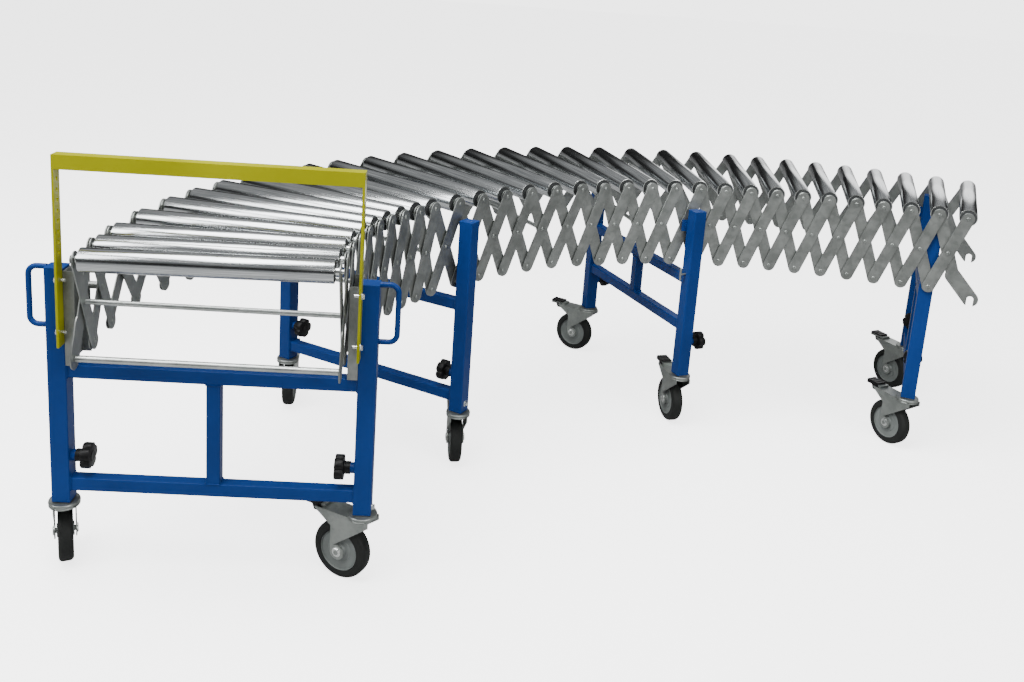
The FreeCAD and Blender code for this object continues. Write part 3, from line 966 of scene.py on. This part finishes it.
@dataclass
class ClampKnobs(SubAssembly):
    """The lobed knobs that clamp the inner tubes, each on its screw."""

    height: float = 0.280
    leg_half: float = 0.020
    boss: float = 0.010
    stem: float = 0.014
    stem_radius: float = 0.014
    thickness: float = 0.020
    radius: float = 0.028
    lobes: int = 5
    cap_radius: float = 0.0125
    screw_radius: float = 0.005
    screw_tip: float = 0.013
    front_facing: int = 3

    def model(self) -> Piece:
        """Model one knob along X, from the end of its boss outwards.

        Returns:
            The knob.
        """
        sides = self.lobes * 8
        end = self.stem + self.thickness
        middle = self.stem + self.thickness / 2
        Bench.round_bar("knob head", self.radius, self.thickness, sides, middle)
        hollows = [(n + 0.5) * 2 * math.pi / self.lobes for n in range(self.lobes)]
        for near, depth in ((0.0, 0.80), (2 * math.pi / sides, 0.93)):
            Bench.pick(Pick.POINTS, lambda place, way: any(
                abs(abs((math.atan2(place.z, place.y) - turn + math.pi) % (2 * math.pi) - math.pi) - near)
                < 0.03 for turn in hollows))
            bpy.ops.transform.resize(value=(1.0, depth, depth), center_override=(0.0, 0.0, 0.0))
        Bench.round_edges(0.0018, 2, lambda place, way: abs(way.x) < 0.5
                          and min(abs(place.x - self.stem), abs(place.x - end)) < 0.0001)
        head = self.finished(40.0, Coat.BLACK_PLASTIC)
        cap = self.turned(Coat.BLACK_PLASTIC, "knob cap", self.cap_radius, 0.0012, 24, end + 0.0002,
                          End.OUTER, (0.0012, 0.0005), (0.0030, -0.0004), angle=40.0)
        stem = self.turned(Coat.BLACK_PLASTIC, "knob stem", self.stem_radius, self.stem, 28, self.stem / 2,
                           End.INNER, (0.0015, 0.0), (0.0060, -0.0012), angle=40.0)
        length = self.screw_tip + self.stem
        screw = self.turned(Coat.FASTENER, "knob screw", self.screw_radius, length, 14,
                            self.stem - length / 2, End.INNER, (0.0012, 0.0008), angle=40.0)
        return Bench.gather("knob model", (head, cap, stem, screw))

    def build(self) -> None:
        """Set a knob on each leg's boss."""
        model = self.model()
        knobs = []
        for number in range(1, 5):
            place = FramePlace.find(number)
            for side in Side:
                if number == self.front_facing:
                    way, seat = place.ahead, place.spot(side.value * place.spread, self.leg_half, self.height)
                else:
                    way = place.beside * -side.value
                    seat = place.spot(side.value * (place.spread - self.leg_half), 0.0, self.height)
                turn = Matrix.Rotation(1.1 * number + side.value, 4, "X")
                knobs.append(Bench.stamp(model, axes(way, seat + way * self.boss) @ turn))
        self.seat("lobed_knobs", knobs, "conveyor_frame", Coat.BLACK_PLASTIC,
                  (Coat.BLACK_PLASTIC, Coat.FASTENER), ("clamp_knobs",))
        Bench.discard(model)


@dataclass
class FrameTrim(SubAssembly):
    """Welds, bolts and the screw handle of the leg frames."""

    leg_half: float = 0.020
    rail_half: float = 0.015
    levels: tuple[tuple[float, float], ...] = ((0.217, 0.480), (0.217, 0.480), (0.330, 0.480),
                                               (0.217, 0.480))
    stop_bolts: tuple[float, ...] = (0.577, 0.690)
    foot_bolts: tuple[float, ...] = (0.186, 0.200)
    upright: float = 0.005
    upright_place: float = 0.035
    bolt_radius: float = 0.0065
    handle_radius: float = 0.0036
    handle_height: float = 0.500

    def bead_model(self) -> Piece:
        """Model the weld round the end of one square rail, along X.

        Returns:
            The weld.
        """
        h, t = self.rail_half + 0.0022, 0.0020
        Bench.block("weld model", Vector((-0.0003, -h, -h)), Vector((t, h, h)))
        Bench.round_edges(0.0035, 3, lambda place, way: End.BOTH.faces(way))
        Bench.pick_end(End.BOTH)
        Bench.steps((0.0026, 0.0))
        Bench.open_up(lambda place, way: max(abs(place.y), abs(place.z)) < self.rail_half - 0.0001
                      and abs(way.x) < 0.5)
        Bench.round_edges(0.0013, 2, lambda place, way: abs(way.x) < 0.5 and place.x > 0.001
                          and max(abs(place.y), abs(place.z)) > self.rail_half + 0.0002)
        return self.finished(50.0, Coat.BLUE)

    def bolt_model(self, radius: float, sides: int, head: float, shank: float) -> Piece:
        """Model a bolt along X: its head outwards, its washer and its shank inwards.

        Args:
            radius: radius of the head.
            sides: number of sides of the head.
            head: height of the head.
            shank: length of the shank.

        Returns:
            The bolt.
        """
        washer = 0.0012
        return Bench.gather("bolt model", (
            self.turned(Coat.FASTENER, "bolt washer", radius * 1.3, washer, 20, washer / 2, End.OUTER,
                        (radius * 0.12, 0.0002)),
            self.turned(Coat.FASTENER, "bolt head", radius, head, sides, washer + head / 2, End.OUTER,
                        (radius * 0.14, radius * 0.1), (radius * 0.4, radius * 0.08), angle=30.0),
            self.turned(Coat.FASTENER, "bolt shank", radius * 0.55, shank, 12, -shank / 2, End.INNER,
                        (0.0008, 0.0006))))

    def screw_handle(self, place: Matrix) -> Piece:
        """Model the bent screw handle on the right leg of the third frame.

        Args:
            place: its place on the leg.

        Returns:
            The handle.
        """
        stem = self.turned(Coat.CASTOR_ZINC, "handle rod", self.handle_radius, 0.018, 12, 0.009, End.OUTER,
                           (0.0006, 0.0005))
        bar = self.turned(Coat.CASTOR_ZINC, "handle bar", self.handle_radius, 0.036, 12, 0.0, End.BOTH,
                          (0.0010, 0.0008))
        bar.data.transform(Matrix.Translation((0.017, 0.0, 0.0)) @ Matrix.Rotation(math.pi / 2, 4, "Y"))
        handle = Bench.gather("screw handle", (stem, bar))
        handle.data.transform(place)
        return handle

    def build(self) -> None:
        """Set the welds, the bolts and the handle."""
        bead = self.bead_model()
        beads, bolts = [], []
        for number, levels in enumerate(self.levels, start=1):
            place = FramePlace.find(number)
            inside = place.spread - self.leg_half
            for level in levels:
                for side in Side:
                    way = place.beside * -side.value
                    beads.append(Bench.stamp(bead, axes(way, place.spot(side.value * inside, 0.0, level))))
            low, high = levels
            for level, turn in ((low + self.rail_half, -math.pi / 2), (high - self.rail_half, math.pi / 2)):
                frame_way = Matrix((place.beside, place.ahead, UP)).transposed().to_4x4()
                frame_way.translation = place.spot(0.0, 0.0, level)
                beads.append(Bench.stamp(bead, frame_way @ Matrix.Rotation(turn, 4, "Y")))
        self.seat("rail_welds", beads, "conveyor_frame", Coat.BLUE)
        bolt = self.bolt_model(self.bolt_radius, 6, 0.0045, 0.016)
        first, second, third = (FramePlace.find(number) for number in (1, 2, 3))
        for height in self.stop_bolts:
            for side in Side:
                x = side.value * (first.spread - self.leg_half + self.upright)
                bolts.append(Bench.stamp(bolt, axes(first.beside * side.value,
                                                    first.spot(x, -self.upright_place, height))))
        for place, height in zip((first, second), self.foot_bolts):
            spot = place.spot(place.spread + self.leg_half, 0.0, height)
            bolts.append(Bench.stamp(bolt, axes(place.beside, spot)))
        spot = third.spot(third.spread, -self.leg_half, self.handle_height)
        bolts.append(self.screw_handle(axes(-third.ahead, spot)))
        self.seat("frame_bolts", bolts, "conveyor_frame", Coat.GALVANISED,
                  (Coat.FASTENER, Coat.CASTOR_ZINC))
        Bench.discard(bead, bolt)


@dataclass
class CastorTrim(SubAssembly):
    """Races, axle nuts and brake pads of the castors."""

    race_radius: float = 0.032
    race_low: float = 0.165
    race_height: float = 0.008
    crown_low: float = 0.1607
    crown_height: float = 0.004
    fork_out: float = 0.024
    axle_height: float = 0.069
    washer_radius: float = 0.0115
    nut_radius: float = 0.0098
    pad_start: float = 0.100
    pad_end: float = 0.144
    pad_half: float = 0.017
    pad_low: float = 0.1707
    pad_depth: float = 0.020
    pad_ribs: float = 160.0

    def ring_model(self, name: str, height: float, swell: float) -> Piece:
        """Model a rounded ring round the kingpin, along X.

        Args:
            name: the object's name.
            height: height of the ring.
            swell: how far it stands out.

        Returns:
            The ring.
        """
        Bench.round_bar(name, self.race_radius + swell, height, 40)
        Bench.pick_end(End.BOTH)
        Bench.steps((swell + 0.0015, 0.0))
        Bench.open_up(lambda place, way: abs(way.x) < 0.5 and place.yz.length < self.race_radius - 0.001)
        Bench.round_edges(height * 0.4, 3,
                          lambda place, way: abs(way.x) < 0.5 and place.yz.length > self.race_radius)
        return self.finished(60.0, Coat.CASTOR_ZINC)

    def nut_model(self) -> Piece:
        """Model an axle nut on its washer, out along X.

        Returns:
            The nut.
        """
        return Bench.gather("nut model", (
            self.turned(Coat.FASTENER, "axle washer", self.washer_radius, 0.0008, 24, 0.0004, End.OUTER,
                        (0.001, 0.0001)),
            self.turned(Coat.FASTENER, "axle nut", self.nut_radius, 0.0020, 6, 0.0018, End.OUTER,
                        (0.0012, 0.0001), (0.0026, 0.0), angle=20.0)))

    def pad_model(self) -> Piece:
        """Model the ribbed brake pad that lies on a fork's pedal.

        Returns:
            The pad.
        """
        Bench.block("pad model", Vector((self.pad_start, -self.pad_half, self.pad_low - self.pad_depth)),
                    Vector((self.pad_end, self.pad_half, self.pad_low + 0.004)))
        bpy.ops.mesh.select_all(action="SELECT")
        bpy.ops.mesh.subdivide(number_cuts=6)
        middle = (self.pad_start + self.pad_end) / 2
        Bench.pick(Pick.POINTS, lambda place, way: place.z < self.pad_low and place.x > middle)
        bpy.ops.transform.resize(value=(1.0, 1.0, 0.35), center_override=(0.0, 0.0, self.pad_low))
        Bench.pick(Pick.FACES, lambda place, way: way.z > FACING
                   and int((place.x - self.pad_start) * self.pad_ribs) % 2 == 0)
        Bench.steps((0.0006, 0.0012))
        Bench.round_edges(0.0015, 2, lambda place, way: abs(place.x - self.pad_end) < 0.0001
                          and abs(way.y) > FACING and place.z > self.pad_low + 0.003)
        return self.finished(40.0, Coat.BLACK_PLASTIC)

    def build(self) -> None:
        """Dress each castor."""
        race = self.ring_model("race model", self.race_height, 0.0012)
        crown = self.ring_model("crown model", self.crown_height, 0.0008)
        nut, pad = self.nut_model(), self.pad_model()
        up = Matrix.Rotation(-math.pi / 2, 4, "Y")
        for number in range(1, 5):
            races = []
            for side in Side:
                name = f"{number}_{side.name.lower()}"
                pin = JOINTS[f"castor_swivel_{name}"][0].copy()
                hub = JOINTS[f"castor_roll_{name}"][0].copy()
                pin.z = hub.z = 0.0
                beside = UP.cross(hub - pin).normalized()
                race_middle = pin + UP * (self.race_low + self.race_height / 2)
                races.append(Bench.stamp(race, Matrix.Translation(race_middle) @ up))
                crown_middle = pin + UP * (self.crown_low + self.crown_height / 2)
                parts = [Bench.stamp(crown, Matrix.Translation(crown_middle) @ up)]
                axle = hub + UP * self.axle_height
                for way in (beside, -beside):
                    parts.append(Bench.stamp(nut, axes(way, axle + way * self.fork_out)))
                parts.append(Bench.stamp(pad, axes(hub - pin, pin)))
                self.seat(f"castor_trim_{name}", parts, f"castor_fork_{name}", Coat.CASTOR_ZINC,
                          (Coat.CASTOR_ZINC, Coat.FASTENER, Coat.BLACK_PLASTIC))
            self.seat(f"castor_races_{number}", races, f"inner_legs_{number}", Coat.CASTOR_ZINC)
        Bench.discard(race, crown, nut, pad)


@dataclass
class Studio:
    """Floor, soft lights, surroundings and the camera."""

    camera_place: Vector = field(default_factory=lambda: Vector((-0.289, -2.679, 1.387)))
    focal_pixels: float = 985.8
    pitch: float = math.radians(12.48)
    roll: float = math.radians(3.99)
    sight_line: float = 180.8
    aim: Vector = field(default_factory=lambda: Vector((0.0, 0.3, 0.5)))
    sky: tuple[tuple[float, float], ...] = ((0.0, 0.012), (0.26, 0.03), (0.50, 0.42), (0.75, 0.35),
                                            (1.0, 0.95))
    wall_way: Colour = (0.40, 0.90, 0.17)
    wall_edge: tuple[float, float] = (0.962, 0.985)
    wall_light: float = 2.4
    backdrop: float = 3.6
    glow: float = 3.0

    def lay_floor(self) -> None:
        """Lay the pale floor."""
        Bench.clear()
        bpy.ops.mesh.primitive_plane_add(size=60.0, location=(0.0, 0.0, 0.0))
        Bench.begin("floor")
        bpy.ops.mesh.subdivide(number_cuts=3)
        bpy.ops.object.mode_set(mode="OBJECT")
        floor = bpy.context.object
        board = NodeBoard("pale floor")
        seen = board.make("ShaderNodeLightPath", "Is Camera Ray", {})
        clouds = board.noise(board.place, 0.6, 4.0)
        shade = board.total(board.remap(seen, 0.0, 0.9, 0.0, 1.0), clouds, 0.1)
        board.feed(board.shader, {
            "Base Color": board.blend(shade, (0.34, 0.34, 0.34), (0.86, 0.86, 0.86)),
            "Emission Color": (1.0, 1.0, 1.0, 1.0),
            "Emission Strength": board.remap(seen, 0.0, self.glow, 0.0, 1.0), "Roughness": 0.65})
        floor.data.materials.append(board.material)

    def hang_lights(self) -> None:
        """Hang the soft lights."""
        rows = (
            # name, place, size, power
            ("window", (-4.5, -3.0, 3.6), 2.5, 170.0),
            ("overhead", (-1.2, -1.0, 4.2), 3.0, 330.0),
            ("front", (3.5, -5.0, 3.4), 2.5, 210.0),
        )
        for name, place, size, power in rows:
            lamp = bpy.data.lights.new(name, "AREA")
            lamp.energy = power
            lamp.size = size
            holder = bpy.data.objects.new(name, lamp)
            holder.location = place
            holder.rotation_euler = (self.aim - Vector(place)).to_track_quat("-Z", "Y").to_euler()
            bpy.context.scene.collection.objects.link(holder)

    def set_surroundings(self) -> None:
        """Set what the steel mirrors, with a bright wall beyond the far end, and a white backdrop."""
        world = bpy.data.worlds.new("studio")
        bpy.context.scene.world = world
        world.use_nodes = True
        board = Wiring(world.node_tree)
        near, output = board.tree.nodes["Background"], board.tree.nodes["World Output"]
        way = board.make("ShaderNodeTexCoord", "Generated", {})
        height = board.make("ShaderNodeSeparateXYZ", "Z", {0: way})
        dome = board.ramp(height, ((place, (grey, grey * 1.01, grey * 1.02)) for place, grey in self.sky))
        beyond = board.make("ShaderNodeVectorMath", "Value", {0: way, 1: self.wall_way},
                            operation="DOT_PRODUCT")
        wall = board.remap(beyond, 0.0, self.wall_light, *self.wall_edge)
        board.feed(near, {"Color": board.make("ShaderNodeMixRGB", "Color", {
            "Fac": 1.0, "Color1": dome, "Color2": wall}, blend_type="ADD")})
        far = board.make("ShaderNodeBackground", "Background", {
            "Color": (1.0, 1.0, 1.0, 1.0), "Strength": self.backdrop})
        seen = board.make("ShaderNodeLightPath", "Is Camera Ray", {})
        board.feed(output, {"Surface": board.make("ShaderNodeMixShader", "Shader", {
            "Fac": seen, 1: near.outputs["Background"], 2: far})})

    def set_camera(self) -> None:
        """Set the camera where the photograph was taken."""
        ahead = Vector((0.0, math.cos(self.pitch), -math.sin(self.pitch)))
        above = Vector((0.0, math.sin(self.pitch), math.cos(self.pitch)))
        beside = Vector((1.0, 0.0, 0.0))
        right = beside * math.cos(self.roll) + above * math.sin(self.roll)
        up = above * math.cos(self.roll) - beside * math.sin(self.roll)
        lens = bpy.data.cameras.new("camera")
        lens.sensor_width = 36.0
        lens.lens = self.focal_pixels / IMAGE_WIDTH * lens.sensor_width
        lens.shift_y = (self.sight_line - IMAGE_HEIGHT / 2) / IMAGE_WIDTH
        holder = bpy.data.objects.new("camera", lens)
        place = Matrix((right, up, -ahead)).transposed().to_4x4()
        place.translation = self.camera_place
        holder.matrix_world = place
        bpy.context.scene.collection.objects.link(holder)
        bpy.context.scene.camera = holder

    def build(self) -> None:
        """Set up the studio."""
        self.lay_floor()
        self.hang_lights()
        self.set_surroundings()
        self.set_camera()


def main() -> None:
    """Build the studio and dress the conveyor."""
    logging.basicConfig(level=logging.INFO, format="%(name)s: %(message)s")
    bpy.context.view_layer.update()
    Studio().build()
    finishes = FinishBook()
    finishes.fill()
    finishes.dress_solids()
    for assembly in (Rollers(finishes), ScissorChains(finishes), ClampKnobs(finishes), FrameTrim(finishes),
                     CastorWheels(finishes), CastorTrim(finishes)):
        assembly.build()
        LOG.info("%s is in place", type(assembly).__name__)


if __name__ == "__main__":
    main()
